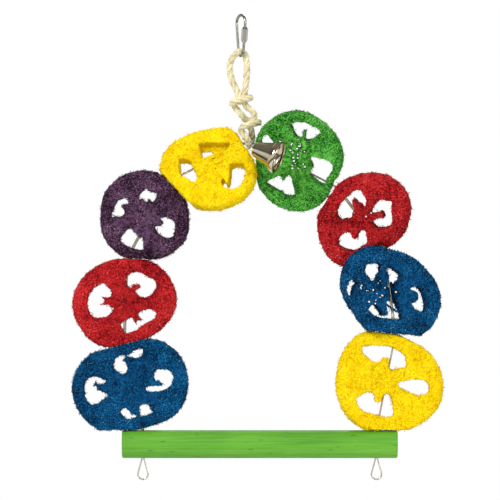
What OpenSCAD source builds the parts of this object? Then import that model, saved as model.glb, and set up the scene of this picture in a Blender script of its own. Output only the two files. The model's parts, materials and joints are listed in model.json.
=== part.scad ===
// Hanging bird swing: dyed gourd-sponge slices threaded on a doubled wire arch over a wooden perch,
// hung by a knotted rope from a small screw link, with a bell at the top.
// Millimetres, +Z up. The origin is the inside top of the screw link, where a hook carries the swing.

/* [Screw link] */
// Diameter of the link's wire
link_wire = 1.8; // [1.4:0.1:2.2]
// Inside height of the link, top bow to bottom bow
link_inside_h = 24.6; // [24:0.2:26]
// Radius of the top bow, at the middle of the wire
link_top_r = 5.1; // [4.4:0.1:5.4]
// Radius of the bottom bow, at the middle of the wire
link_bottom_r = 2.9; // [2.8:0.1:3.4]
// Turn of the link about the vertical, as it hangs beside the rope loop
link_turn = -57; // [-75:1:-45]
// Length of the screw sleeve
sleeve_len = 10; // [8:0.5:10.5]
// Width of the sleeve across its flats
sleeve_flats = 3.8; // [3.4:0.1:4]
// Length of the chamfered cone at each end of the sleeve
sleeve_cone = 1.6; // [1:0.1:2]
// Distance from the centre of the top bow down to the sleeve's top end
sleeve_drop = 2.2; // [1.6:0.1:2.6]
// Gap in the link's wire that the sleeve closes
link_gap = 3.2; // [2.6:0.1:3.6]

/* [Rope] */
// Diameter of the rope
rope_d = 3.2; // [2.8:0.1:3.2]

/* [Wire arch] */
// Diameter of each of the two strands
strand_d = 1.15; // [1:0.05:1.2]
// Half width that the arch's corners are placed by
arch_reach = 100; // [98:1:104]
// Height from the top of the perch to the apex of the arch
arch_h = 188; // [186:1:192]
// Depth of the apex below the hanging point
apex_drop = 80.8; // [80:0.2:82]
// Sideways place of the apex from the hanging point
apex_x = 5.5; // [5:0.5:6]
// Radius of each bend of the arch, at the middle of the strand pair
bend_r = 3.2; // [2.6:0.1:4]
// Width of each teardrop loop under the perch
foot_loop_w = 7.8; // [6:0.2:9]
// Height of each teardrop loop below the perch
foot_loop_h = 14.4; // [12:0.4:17]

/* [Perch] */
// Diameter of the wooden perch
perch_d = 18.2; // [16:0.2:20]
// Length of the perch past the arch wire at each end
perch_over = 13.6; // [10:0.2:16]
// Rounding of the perch's ends
perch_round = 1.2; // [0.6:0.1:2]
// Hole through the perch that grips the two strands
perch_bore = 2.3; // [2.3:0.02:2.34]

/* [Slices] */
// Nominal radius that every slice outline follows
slice_r = 30; // [29:0.25:30.5]
// Thickness of a slice
slice_t = 10; // [8:0.5:10]
// Worn bevel round the edge of each face
slice_bevel = 1.4; // [0.8:0.1:2]
// Hole through a slice that the two strands run in
slice_bore = 3; // [2.8:0.1:3.4]
// Gap between slices that sit side by side, and above the perch
seat_gap = 0.6; // [0.5:0.1:1.2]

/* [Bell] */
// Length of the bell from crown to mouth
bell_len = 18; // [16:0.5:19]
// Diameter of the flared mouth
bell_mouth_d = 22; // [19:0.5:23]
// Diameter of the crown, under its rounded shoulder
bell_crown_d = 9; // [8:0.5:10]
// Wall of the bell
bell_wall = 0.6; // [0.5:0.1:0.8]
// Wire of the crown loop, the small link and the clapper
bell_wire = 0.8; // [0.7:0.05:0.9]
// Lean of the bell, mouth outwards
bell_lean = 15; // [13:1:18]
// Angle from hanging straight down to the sideways rest pose
bell_turn = 70; // [60:1:80]
// Diameter of the clapper's bob
clapper_bob_d = 5; // [4:0.2:5.6]

/* [Bell hook] */
// Wire of the long hook that carries the bell
hook_wire = 0.9; // [0.8:0.05:1]
// Inner clearance of the hook round the rope
hook_clear = 0.65; // [0.6:0.05:0.8]
// Radius of the hook's narrow end, at the middle of its wire
hook_tip_r = 1.4; // [1.3:0.1:1.6]

/* [Hidden] */
$fn = 64;
// Overrun of every cut past the surface that it opens
cut = 1;
// Clearance of wires that hang in one another
wire_clear = 0.05;
// Clearance of the sleeve round the link's wire
sleeve_clear = 0.06;
// Bead at each joint of a bent wire, and the gap that it bridges, as shares of the wire
bead_share = 1.04;
bead_gap_share = 0.05;
// Number of points on a slice's outline
outline_points = 48;
// Sides of the rope's solid
rope_sides = 8;

// Link: heights of the two bow centres and the lean of its legs
link_top_z = link_wire / 2 - link_top_r;
link_bottom_z = -link_inside_h - link_wire / 2 + link_bottom_r;
link_bows = link_top_z - link_bottom_z;
link_lean = asin((link_top_r - link_bottom_r) / link_bows);

// Arch: corners as shares of the reach and of the height above the perch
corner_shares = [[-0.637, 0], [-0.759, 0.297], [-0.739, 0.594], [-0.472, 0.861], [0.055, 1],
    [0.624, 0.84], [0.926, 0.628], [1.004, 0.334], [0.881, 0]];
perch_top_z = -apex_drop - arch_h;
apex_share = corner_shares[4][0];
corners = [for (s = corner_shares)
    [apex_x + (s[0] - apex_share) * arch_reach, perch_top_z + s[1] * arch_h]];
// Direction of each span of the arch, and of the strands through the perch before and after them
function heading(i) = i < 0 ? 90 : i > 7 ? -90
    : atan2(corners[i + 1][1] - corners[i][1], corners[i + 1][0] - corners[i][0]);
// Way that each seat between slices faces, and its lean: positive where the slice after it lies in front
seat_headings = [90, 104, 87, 44, -1, -40, -67, -96, -90];
seat_leans = [0, 0, 0, 0, -50, 20, 50, 0, 0];
strand_side = strand_d / 2 + wire_clear / 2;
perch_z = perch_top_z - perch_d / 2;
perch_len = corners[8][0] - corners[0][0] + 2 * perch_over;
perch_bottom_z = perch_top_z - perch_d;

// Slices: [outline, chambers]. The outline is twelve shares of the nominal radius, anticlockwise from +X.
// A chamber is the round of its rim, with the tongues of fibre that reach in from the core: points in
// shares of the nominal radius, +X and +Y as seen from the front
blue_left_shares = [
    [1.24, 1.24, 1.14, 0.97, 0.96, 1.15, 1.27, 1.25, 1.16, 0.99, 0.99, 1.17],
    [[[-0.12, 0.67], [-0.22, 0.66], [-0.35, 0.58], [-0.39, 0.43], [-0.35, 0.35], [-0.27, 0.27],
        [-0.17, 0.22], [-0.1, 0.27], [-0.07, 0.4], [-0.12, 0.52], [-0.18, 0.54], [-0.12, 0.6]],
        [[-0.09, 0.65], [-0.02, 0.69], [0.07, 0.76], [0.16, 0.8], [0.3, 0.81], [0.26, 0.76],
        [0.27, 0.69], [0.22, 0.62], [0.1, 0.57], [0.03, 0.6], [-0.07, 0.62]],
        [[0.61, 0.36], [0.8, 0.35], [0.89, 0.28], [0.94, 0.16], [0.9, 0.08], [0.88, 0], [0.8, -0.07],
        [0.61, -0.14], [0.44, -0.15], [0.32, -0.12], [0.31, -0.06], [0.39, 0], [0.66, 0], [0.69, 0.03],
        [0.63, 0.06], [0.61, 0.11], [0.55, 0.08], [0.5, 0.14], [0.49, 0.24], [0.53, 0.32]],
        [[-0.52, 0.12], [-0.6, 0.12], [-0.64, 0.17], [-0.8, 0.2], [-0.92, 0.16], [-1, 0.05],
        [-1.01, -0.1], [-1, -0.23], [-0.92, -0.38], [-0.86, -0.43], [-0.7, -0.4], [-0.58, -0.29],
        [-0.48, -0.23], [-0.53, -0.16], [-0.66, -0.11], [-0.73, -0.07], [-0.7, -0.02], [-0.79, 0.01],
        [-0.77, 0.07], [-0.72, 0.02], [-0.6, 0.02], [-0.54, 0.07]],
        [[-0.24, -0.57], [-0.18, -0.5], [-0.1, -0.49], [-0.01, -0.57], [0.01, -0.62], [0.09, -0.63],
        [0.15, -0.67], [0.06, -0.71], [-0.02, -0.73], [-0.11, -0.72], [-0.18, -0.65]],
        [[0.2, -0.42], [0.28, -0.4], [0.37, -0.4], [0.43, -0.5], [0.49, -0.57], [0.42, -0.62],
        [0.33, -0.66], [0.2, -0.68], [0.19, -0.6], [0.18, -0.5]]]];
red_left_shares = [
    [1.14, 1.11, 1.04, 0.94, 0.95, 1.03, 1.11, 1.1, 1.08, 0.96, 0.93, 1.03],
    [[[0.16, 0.63], [0.24, 0.66], [0.33, 0.65], [0.49, 0.57], [0.62, 0.51], [0.69, 0.44], [0.71, 0.34],
        [0.69, 0.25], [0.57, 0.12], [0.46, 0.08], [0.34, 0.1], [0.28, 0.16], [0.24, 0.22], [0.27, 0.27],
        [0.34, 0.3], [0.36, 0.34], [0.31, 0.37], [0.21, 0.37], [0.18, 0.31], [0.12, 0.29], [0.07, 0.37],
        [0.04, 0.47], [0.07, 0.55]],
        [[-0.49, 0.4], [-0.41, 0.4], [-0.36, 0.33], [-0.28, 0.27], [-0.25, 0.2], [-0.28, 0.12],
        [-0.34, 0.08], [-0.46, 0.1], [-0.41, 0.03], [-0.42, -0.01], [-0.48, -0.06], [-0.34, -0.05],
        [-0.28, -0.11], [-0.21, -0.13], [-0.25, -0.22], [-0.33, -0.3], [-0.41, -0.34], [-0.58, -0.37],
        [-0.68, -0.33], [-0.75, -0.25], [-0.79, -0.1], [-0.78, 0.12], [-0.72, 0.22], [-0.6, 0.35]],
        [[-0.08, -0.49], [-0.02, -0.42], [0.08, -0.36], [0.17, -0.34], [0.22, -0.38], [0.25, -0.46],
        [0.28, -0.4], [0.38, -0.39], [0.31, -0.33], [0.29, -0.27], [0.38, -0.19], [0.5, -0.15],
        [0.6, -0.16], [0.71, -0.21], [0.69, -0.32], [0.62, -0.41], [0.4, -0.52], [0.25, -0.63],
        [0.1, -0.69], [0, -0.68], [-0.05, -0.6]]]];
purple_left_shares = [
    [0.95, 0.95, 0.93, 0.95, 0.97, 0.98, 0.96, 1.01, 1.02, 0.99, 1.02, 1.03],
    [[[0, 0.57], [0.05, 0.55], [0.12, 0.5], [0.18, 0.48], [0.25, 0.48], [0.28, 0.42], [0.23, 0.31],
        [0.18, 0.26], [0.13, 0.29], [0.09, 0.34], [0.05, 0.26], [-0.02, 0.3], [-0.07, 0.34],
        [-0.13, 0.3], [-0.13, 0.38], [-0.1, 0.47]],
        [[-0.46, 0.37], [-0.38, 0.36], [-0.35, 0.28], [-0.34, 0.2], [-0.44, 0.22], [-0.5, 0.17],
        [-0.45, 0.11], [-0.43, 0.03], [-0.48, -0.04], [-0.54, -0.06], [-0.61, -0.04], [-0.72, -0.06],
        [-0.72, 0.02], [-0.65, 0.18], [-0.6, 0.3]],
        [[0.33, -0.06], [0.42, -0.05], [0.53, -0.07], [0.6, -0.12], [0.66, -0.19], [0.66, -0.33],
        [0.63, -0.44], [0.57, -0.51], [0.48, -0.52], [0.4, -0.48], [0.3, -0.41], [0.24, -0.33],
        [0.2, -0.25], [0.3, -0.25], [0.4, -0.2], [0.39, -0.16], [0.35, -0.12]],
        [[-0.34, -0.3], [-0.26, -0.31], [-0.22, -0.38], [-0.15, -0.44], [-0.12, -0.49], [-0.04, -0.48],
        [-0.03, -0.6], [-0.03, -0.76], [-0.13, -0.78], [-0.22, -0.75], [-0.38, -0.69], [-0.48, -0.63],
        [-0.54, -0.55], [-0.51, -0.46], [-0.45, -0.4], [-0.4, -0.33]]]];
yellow_top_shares = [
    [1.02, 0.88, 0.97, 0.87, 0.89, 1.02, 1.08, 0.97, 0.93, 0.97, 1.04, 1.1],
    [[[-0.24, 0.52], [-0.03, 0.54], [0.2, 0.52], [0.47, 0.5], [0.42, 0.36], [0.28, 0.24], [0.1, 0.13],
        [-0.03, 0.11], [-0.14, 0.2], [-0.2, 0.36]],
        [[-0.66, 0.17], [-0.5, 0.17], [-0.38, 0.1], [-0.33, -0.04], [-0.22, -0.28], [-0.28, -0.39],
        [-0.47, -0.28], [-0.61, -0.2], [-0.64, -0.05]],
        [[0.48, 0], [0.62, 0.03], [0.77, 0], [0.83, -0.15], [0.8, -0.36], [0.71, -0.53], [0.54, -0.58],
        [0.37, -0.52], [0.29, -0.4], [0.33, -0.31], [0.38, -0.38], [0.42, -0.46], [0.46, -0.4],
        [0.48, -0.2]]]];
green_top_shares = [
    [0.99, 1.02, 1.05, 1.12, 1.08, 1.02, 0.9, 1, 1.07, 1.1, 1.05, 0.9],
    [[[-0.15, 0.82], [-0.09, 0.89], [0.01, 0.92], [0.18, 0.91], [0.33, 0.85], [0.47, 0.76], [0.54, 0.7],
        [0.5, 0.62], [0.4, 0.55], [0.31, 0.48], [0.21, 0.47], [0.17, 0.52], [0.17, 0.61], [0.21, 0.68],
        [0.12, 0.68], [0.13, 0.6], [0.08, 0.53], [0.02, 0.54], [-0.06, 0.62], [-0.1, 0.73]],
        [[-0.79, 0.46], [-0.74, 0.58], [-0.64, 0.62], [-0.56, 0.55], [-0.5, 0.44], [-0.55, 0.34],
        [-0.68, 0.3], [-0.78, 0.36]],
        [[0.26, 0.07], [0.29, 0.14], [0.37, 0.16], [0.46, 0.11], [0.6, 0.09], [0.71, 0.05],
        [0.79, -0.04], [0.76, -0.19], [0.68, -0.32], [0.62, -0.42], [0.6, -0.51], [0.52, -0.51],
        [0.39, -0.42], [0.29, -0.33], [0.26, -0.22], [0.33, -0.13], [0.3, -0.03]],
        [[-0.41, -0.3], [-0.33, -0.31], [-0.34, -0.39], [-0.28, -0.39], [-0.25, -0.31], [-0.17, -0.27],
        [-0.12, -0.35], [-0.1, -0.49], [-0.06, -0.63], [-0.06, -0.75], [-0.12, -0.8], [-0.24, -0.8],
        [-0.37, -0.71], [-0.51, -0.63], [-0.66, -0.54], [-0.71, -0.49], [-0.66, -0.42], [-0.5, -0.34]]]];
red_right_shares = [
    [1.04, 1.17, 1.13, 1.01, 0.94, 1.04, 0.97, 1.05, 1.12, 0.97, 0.8, 0.91],
    [[[-0.08, 0.68], [0.01, 0.68], [0.06, 0.6], [0.12, 0.54], [0.135, 0.435], [0.11, 0.33],
        [0.055, 0.265], [0.01, 0.3], [-0.01, 0.345], [-0.09, 0.37], [-0.145, 0.43], [-0.19, 0.46],
        [-0.18, 0.39], [-0.15, 0.33], [-0.13, 0.26], [-0.17, 0.19], [-0.195, 0.105], [-0.21, 0.05],
        [-0.28, 0.02], [-0.37, 0], [-0.45, -0.01], [-0.51, 0.02], [-0.55, 0.08], [-0.57, 0.15],
        [-0.54, 0.23], [-0.5, 0.32], [-0.43, 0.41], [-0.35, 0.48], [-0.25, 0.57], [-0.18, 0.64]],
        [[0.41, 0.465], [0.49, 0.475], [0.585, 0.46], [0.66, 0.46], [0.7, 0.44], [0.7, 0.35],
        [0.69, 0.245], [0.695, 0.14], [0.71, 0.04], [0.68, -0.06], [0.62, -0.13], [0.55, -0.15],
        [0.46, -0.16], [0.35, -0.17], [0.29, -0.14], [0.225, -0.05], [0.27, 0.01], [0.33, 0.03],
        [0.4, 0.075], [0.45, 0.085], [0.485, 0.045], [0.5, 0.105], [0.465, 0.165], [0.42, 0.205],
        [0.38, 0.17], [0.28, 0.155], [0.21, 0.16], [0.205, 0.2], [0.24, 0.27], [0.3, 0.355],
        [0.355, 0.42]],
        [[0.07, -0.185], [0.11, -0.245], [0.13, -0.345], [0.13, -0.43], [0.115, -0.5], [0.04, -0.56],
        [-0.02, -0.6], [-0.1, -0.655], [-0.18, -0.69], [-0.28, -0.685], [-0.385, -0.66], [-0.47, -0.62],
        [-0.53, -0.57], [-0.55, -0.5], [-0.53, -0.41], [-0.49, -0.35], [-0.41, -0.31], [-0.33, -0.26],
        [-0.22, -0.275], [-0.205, -0.31], [-0.21, -0.36], [-0.165, -0.4], [-0.115, -0.41],
        [-0.105, -0.33], [-0.07, -0.265], [-0.02, -0.23], [0.035, -0.19]]]];
blue_right_shares = [
    [1.1, 0.93, 0.875, 0.89, 1.1, 1.17, 1.1, 0.96, 1, 0.96, 1.15, 1.2],
    [[[-0.59, 0.57], [-0.5, 0.585], [-0.4, 0.59], [-0.33, 0.625], [-0.275, 0.585], [-0.205, 0.57],
        [-0.24, 0.505], [-0.235, 0.44], [-0.225, 0.38], [-0.295, 0.36], [-0.295, 0.3], [-0.35, 0.235],
        [-0.42, 0.215], [-0.49, 0.22], [-0.54, 0.31], [-0.6, 0.345], [-0.63, 0.42], [-0.6, 0.485]],
        [[-0.135, 0.54], [-0.07, 0.53], [0, 0.5], [0.09, 0.455], [0.18, 0.4], [0.23, 0.35],
        [0.225, 0.29], [0.175, 0.22], [0.1, 0.2], [0.02, 0.205], [-0.05, 0.205], [-0.09, 0.23],
        [-0.08, 0.34], [-0.12, 0.42]],
        [[-0.875, 0.265], [-0.82, 0.26], [-0.805, 0.2], [-0.76, 0.18], [-0.78, 0.14], [-0.82, 0.13],
        [-0.83, 0.08], [-0.85, 0.02], [-0.865, -0.035], [-0.87, -0.095], [-0.955, -0.12], [-1, -0.13],
        [-1.02, -0.07], [-1.04, 0], [-1.035, 0.065], [-1.015, 0.13], [-0.99, 0.19], [-0.935, 0.24]],
        [[0.4, 0.03], [0.44, 0.065], [0.51, 0.09], [0.605, 0.105], [0.665, 0.06], [0.735, 0],
        [0.77, -0.09], [0.795, -0.19], [0.81, -0.295], [0.8, -0.395], [0.775, -0.445], [0.715, -0.465],
        [0.645, -0.45], [0.575, -0.41], [0.505, -0.37], [0.435, -0.27], [0.525, -0.245], [0.575, -0.2],
        [0.595, -0.145], [0.595, -0.06], [0.57, -0.02], [0.49, 0]],
        [[-0.555, -0.42], [-0.53, -0.36], [-0.475, -0.31], [-0.405, -0.28], [-0.35, -0.315],
        [-0.3, -0.36], [-0.255, -0.41], [-0.22, -0.485], [-0.195, -0.53], [-0.125, -0.525],
        [-0.11, -0.485], [-0.125, -0.415], [-0.14, -0.31], [-0.105, -0.255], [-0.035, -0.215],
        [0.035, -0.215], [0.105, -0.255], [0.155, -0.27], [0.175, -0.33], [0.205, -0.395],
        [0.24, -0.455], [0.23, -0.565], [0.26, -0.605], [0.205, -0.62], [0.1, -0.62], [0, -0.61],
        [-0.11, -0.595], [-0.195, -0.59], [-0.285, -0.585], [-0.37, -0.555], [-0.46, -0.505],
        [-0.51, -0.45]]]];
yellow_right_shares = [
    [1.19, 1.09, 0.985, 1.05, 1.18, 1.14, 1.125, 1.165, 1.18, 1.12, 1.16, 1.225],
    [[[-0.56, 0.73], [-0.49, 0.77], [-0.39, 0.77], [-0.17, 0.765], [0.01, 0.75], [0.145, 0.7],
        [0.225, 0.665], [0.295, 0.615], [0.36, 0.55], [0.4, 0.5], [0.37, 0.45], [0.395, 0.385],
        [0.4, 0.315], [0.37, 0.265], [0.295, 0.27], [0.21, 0.26], [0.145, 0.22], [0.06, 0.225],
        [0.02, 0.265], [0.01, 0.365], [0.01, 0.465], [-0.04, 0.485], [-0.13, 0.485], [-0.15, 0.415],
        [-0.22, 0.385], [-0.31, 0.39], [-0.39, 0.45], [-0.47, 0.515], [-0.53, 0.565], [-0.57, 0.635]],
        [[0.21, -0.065], [0.245, -0.025], [0.345, 0], [0.475, 0.025], [0.595, 0.035], [0.695, 0.03],
        [0.795, 0.01], [0.87, -0.035], [0.895, -0.115], [0.895, -0.2], [0.87, -0.275], [0.795, -0.315],
        [0.71, -0.325], [0.675, -0.355], [0.61, -0.325], [0.525, -0.285], [0.425, -0.24], [0.325, -0.2],
        [0.25, -0.15]],
        [[-0.7, -0.385], [-0.605, -0.335], [-0.54, -0.275], [-0.475, -0.24], [-0.405, -0.235],
        [-0.34, -0.26], [-0.29, -0.31], [-0.275, -0.365], [-0.29, -0.425], [-0.255, -0.45],
        [-0.19, -0.465], [-0.155, -0.44], [-0.14, -0.375], [-0.105, -0.315], [-0.075, -0.285],
        [-0.005, -0.285], [0.045, -0.31], [0.075, -0.375], [0.095, -0.465], [0.11, -0.565],
        [0.125, -0.685], [0.125, -0.76], [0.06, -0.79], [-0.04, -0.8], [-0.14, -0.785], [-0.24, -0.75],
        [-0.34, -0.725], [-0.44, -0.7], [-0.54, -0.675], [-0.605, -0.625], [-0.655, -0.55],
        [-0.69, -0.465]]]];

// Rope route: hand-chosen points from the end tucked behind the upper knot, round its wrap, through
// the lower knot and under the arch wire, back up through both knots, over the link and down again
rope_route = [
    [1.4, 4.1, -52.4], [5.8, 2.2, -52.6], [5.2, -2.6, -53.1], [0.2, -4.2, -54], [-4.6, -3, -55.2],
    [-5.8, 0.6, -56.4], [-4.2, 3.4, -58], [-2.4, 3, -60.8], [0, 1.6, -63.4], [2.2, 3, -66.2],
    [6, 4.4, -68], [10.8, 2.6, -68.6], [11.2, -1.8, -69], [6.6, -4.1, -70], [2.2, -3.7, -71.2],
    [0.2, -1.7, -72.9], [0.9, -1.6, -75.5], [3.3, -3.4, -78.2], [4.5, -3.1, -81.2], [5.2, -1.7, -83.5],
    [5.5, 0, -84.1], [5.8, 1.7, -83.5], [6.5, 3.1, -81.2], [7.3, 3.4, -78], [6.8, 1.8, -75],
    [6.2, 0, -72], [6.6, 0, -68.2], [8.6, -0.2, -64.8], [8, 0, -62], [4.8, 0, -59.4],
    [2.1, 0, -56.2], [2.1, 0, -52], [3.2, 0, -44], [3.9, 0.2, -34], [3.4, 1.6, -27],
    [1.9, 1.3, -23.8], [0, 0, -22.7], [-2.3, -1.4, -23.6], [-5.6, -1.4, -27], [-7.4, -0.4, -33.5],
    [-5.6, 0, -42], [-2.3, 0, -49], [-1.9, 0, -53], [-1.9, 0, -57]];

// Bell: pivot of the bell, where its crown loop hangs in the small link
hook_end_r = rope_d / 2 + hook_clear + hook_wire / 2;
hook_rope_place = [3.9, -2.6, -79.4];
hook_tip = [5.8, -22.6, -82.6];
link_ring_r = 1.9;
crown_ring_r = 1.5;
ring_lift = (hook_wire + bell_wire) / 2 + wire_clear;
link_ring_z = hook_tip[2] + ring_lift - link_ring_r;
bell_pivot = [hook_tip[0], hook_tip[1], link_ring_z - link_ring_r];
crown_lift = bell_wire + wire_clear;
crown_drop = 2 * crown_ring_r - crown_lift + bell_wire / 2;

// Smooth closed radius: a cubic through twelve shares, read at any angle
function wrap12(i) = (i % 12 + 12) % 12;
function cubic(a, b, c, d, t) =
    b + t * ((c - a) + t * ((2 * a - 5 * b + 4 * c - d) + t * (3 * b - a - 3 * c + d))) / 2;
function radius_share(shares, angle) =
    let (u = angle / 30, i = floor(u))
    cubic(shares[wrap12(i - 1)], shares[wrap12(i)], shares[wrap12(i + 1)], shares[wrap12(i + 2)], u - i);

// Outline of a slice, drawn in by the given amount
function outline(shares, inset) = [for (k = [0:outline_points - 1])
    let (a = k * 360 / outline_points, r = slice_r * radius_share(shares, a) - inset) r * [cos(a), sin(a)]];

// Solid between two or more rings of points, closed by a flat face at each end
module loft(rings) {
    n = len(rings[0]);
    last = len(rings) - 1;
    polyhedron(
        points = [for (r = rings) for (p = r) p],
        faces = concat(
            [[for (i = [0:n - 1]) i]],
            [for (k = [0:last - 1]) for (i = [0:n - 1]) each [
                [k * n + i, (k + 1) * n + i, (k + 1) * n + (i + 1) % n],
                [k * n + i, (k + 1) * n + (i + 1) % n, k * n + (i + 1) % n]]],
            [[for (i = [n - 1:-1:0]) last * n + i]]));
}

// Picture plane: X stays, drawn Y becomes Z, drawn Z comes toward the front
module picture_plane() {
    rotate([90, 0, 0]) children();
}

// Body of a slice: bevelled both faces, cut by its seed chambers
module slice_body(shares) {
    levels = [[-slice_t / 2, slice_bevel], [-slice_t / 2 + slice_bevel, 0],
        [slice_t / 2 - slice_bevel, 0], [slice_t / 2, slice_bevel]];
    difference() {
        loft([for (l = levels) [for (p = outline(shares[0], l[1])) [p[0], p[1], l[0]]]]);
        for (c = shares[1]) translate([0, 0, -slice_t / 2 - cut])
            linear_extrude(slice_t + 2 * cut) polygon(slice_r * c);
    }
}

// Block with one face on the seat at a corner, where two slices press together. Side 1 is the slice after it
block = 4 * slice_r;
module beyond_seat(i, side) {
    translate([corners[i][0], corners[i][1], 0]) rotate(seat_headings[i])
        rotate([0, -seat_leans[i], 0]) translate([side * (seat_gap + block) / 2, 0, 0])
            cube([block, 2 * block, 2 * block], center = true);
}

// A slice on its span of the arch: first corner, tilt about the wire, then the offset of its centre from
// the middle of the span, as shares of the radius in the picture and of the thickness in depth
module slice(first, tilt, along, depth, shares) {
    mid = (corners[first] + corners[first + 1]) / 2;
    picture_plane() intersection() {
        translate([mid[0], mid[1], 0]) rotate(heading(first)) rotate([tilt, 0, 0]) difference() {
            rotate(-heading(first)) translate([along[0] * slice_r, along[1] * slice_r, depth * slice_t])
                slice_body(shares);
            rotate([0, 90, 0]) cylinder(d = slice_bore, h = block, center = true);
        }
        beyond_seat(first, 1);
        beyond_seat(first + 1, -1);
    }
}

// Bent length of round wire in the XY plane: turn is the sweep, starting from +X, with a bead at each end
// that joins it to what it meets
module bend(radius, wire, turn) {
    trim = asin(bead_gap_share * wire / radius);
    rotate(trim) rotate_extrude(angle = turn - 2 * trim) translate([radius, 0]) circle(d = wire);
    for (end = [0, turn]) rotate(end) translate([radius, 0, 0]) sphere(d = bead_share * wire);
}

// Straight length of round wire down -Y, which stops just inside the beads at its ends
module straight(wire, length) {
    translate([0, -bead_gap_share * wire, 0]) rotate([90, 0, 0])
        cylinder(d = wire, h = length - 2 * bead_gap_share * wire);
}

// Closed pear of wire: a top bow at the origin, a bottom bow below it, joined by two tangent legs
module pear(top_r, bottom_r, bows, wire) {
    lean = asin((top_r - bottom_r) / bows);
    leg = sqrt(pow(bows, 2) - pow(top_r - bottom_r, 2));
    rotate(-lean) bend(top_r, wire, 180 + 2 * lean);
    translate([0, -bows]) rotate(180 + lean) bend(bottom_r, wire, 180 - 2 * lean);
    for (side = [0, 1]) mirror([side, 0, 0]) rotate(-lean) translate([top_r, 0, 0]) straight(wire, leg);
}

module link_plane() {
    rotate(link_turn) picture_plane() translate([0, link_top_z, 0]) children();
}

// Frame of the link's sleeved leg: origin at the leg's top end, -Y down the leg
module sleeved_leg() {
    rotate(-link_lean) translate([link_top_r, 0, 0]) children();
}

module link_body() color("silver") link_plane() difference() {
    pear(link_top_r, link_bottom_r, link_bows, link_wire);
    sleeved_leg() translate([0, -sleeve_drop - sleeve_cone - link_gap / 2, 0])
        cube([3 * link_wire, link_gap, 3 * link_wire], center = true);
}

// Hexagonal sleeve with a cone at each end, drawn as its profile's revolve cut by a hexagonal bar
sleeve_lip_share = 0.17;
module link_sleeve() color("lightgray") link_plane() sleeved_leg()
    translate([0, -sleeve_drop, 0]) rotate([90, 0, 0]) difference() {
        corner_r = sleeve_flats / sqrt(3);
        end_r = link_wire / 2 + sleeve_clear + sleeve_lip_share * link_wire;
        intersection() {
            cylinder(r = corner_r, h = sleeve_len, $fn = 6);
            rotate_extrude() polygon([[0, 0], [end_r, 0], [corner_r, sleeve_cone],
                [corner_r, sleeve_len - sleeve_cone], [end_r, sleeve_len], [0, sleeve_len]]);
        }
        translate([0, 0, -cut]) cylinder(d = link_wire + 2 * sleeve_clear, h = sleeve_len + 2 * cut);
    }

// Smooth rope route: a cubic through the chosen points, with one ring added in each span
function route_point(i) = rope_route[max(0, min(len(rope_route) - 1, i))];
rope_line = concat(
    [for (i = [0:len(rope_route) - 2]) for (t = [0, 0.5])
        cubic(route_point(i - 1), route_point(i), route_point(i + 1), route_point(i + 2), t)],
    [rope_route[len(rope_route) - 1]]);
rope_last = len(rope_line) - 1;
function unit(v) = v / norm(v);
rope_dir = [for (i = [0:rope_last]) unit(rope_line[min(rope_last, i + 1)] - rope_line[max(0, i - 1)])];
function square_to(u, d) = unit(u - (u * d) * d);
rope_side = [for (i = 0, u = square_to([0, 0, 1], rope_dir[0]); i <= rope_last;
    i = i + 1, u = i <= rope_last ? square_to(u, rope_dir[i]) : u) u];
rope_len = [for (i = 1, s = 0; i <= rope_last + 1;
    s = i <= rope_last ? s + norm(rope_line[i] - rope_line[i - 1]) : s, i = i + 1) s];
rope_gap = min([for (i = [0:rope_last]) for (j = [i + 1:1:rope_last])
    if (abs(rope_len[i] - rope_len[j]) > 2.4 * rope_d) norm(rope_line[i] - rope_line[j])]) - rope_d;
echo(rope_length = rope_len[rope_last], rope_least_gap_to_itself = rope_gap);

module hanger_rope() color("cornsilk") loft([for (i = [0:rope_last])
    [for (k = [0:rope_sides - 1]) let (a = k * 360 / rope_sides)
        rope_line[i] + rope_d / 2 * (cos(a) * rope_side[i] + sin(a) * cross(rope_dir[i], rope_side[i]))]]);

// Turn at corner i, anticlockwise positive, and the length that its bend takes from each span
function turn_at(i) = heading(i) - heading(i - 1);
function bend_reach(i) = bend_r * tan(abs(turn_at(i)) / 2);

// One strand of the arch, aside from the middle line by the given offset
module arch_strand(side) {
    for (i = [0:8]) {
        t = turn_at(i);
        s = sign(t);
        translate([corners[i][0], corners[i][1], 0]) rotate(heading(i - 1))
            translate([-bend_reach(i), s * bend_r, 0]) rotate(t > 0 ? -90 : 90 + t)
                bend(bend_r - s * side, strand_d, abs(t));
    }
    for (i = [0:7]) translate([corners[i][0], corners[i][1], 0]) rotate(heading(i) + 90)
        translate([side, -bend_reach(i), 0])
            straight(strand_d, norm(corners[i + 1] - corners[i]) - bend_reach(i) - bend_reach(i + 1));
    for (i = [0, 8]) translate([corners[i][0] + (i == 0 ? -side : side), perch_top_z - bend_reach(i), 0])
        straight(strand_d, perch_d - bend_reach(i));
}

// Teardrop loop under the perch: two legs that part from the strand pair, tangent to a round foot
module foot_loop() {
    foot_r = (foot_loop_w - strand_d) / 2;
    foot_z = foot_loop_h - strand_d / 2 - foot_r;
    reach = norm([strand_side, foot_z]);
    part = asin(foot_r / reach) - atan(strand_side / foot_z);
    leg = sqrt(pow(reach, 2) - pow(foot_r, 2));
    translate([0, -foot_z, 0]) rotate(180 - part) bend(foot_r, strand_d, 180 + 2 * part);
    for (side = [0, 1]) mirror([side, 0, 0]) translate([strand_side, 0, 0]) {
        rotate(part) straight(strand_d, leg);
        sphere(d = bead_share * strand_d);
    }
}

module arch_wire() color("gray") picture_plane() {
    arch_strand(strand_side);
    arch_strand(-strand_side);
    for (i = [0, 8]) translate([corners[i][0], perch_bottom_z, 0]) foot_loop();
}

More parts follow.
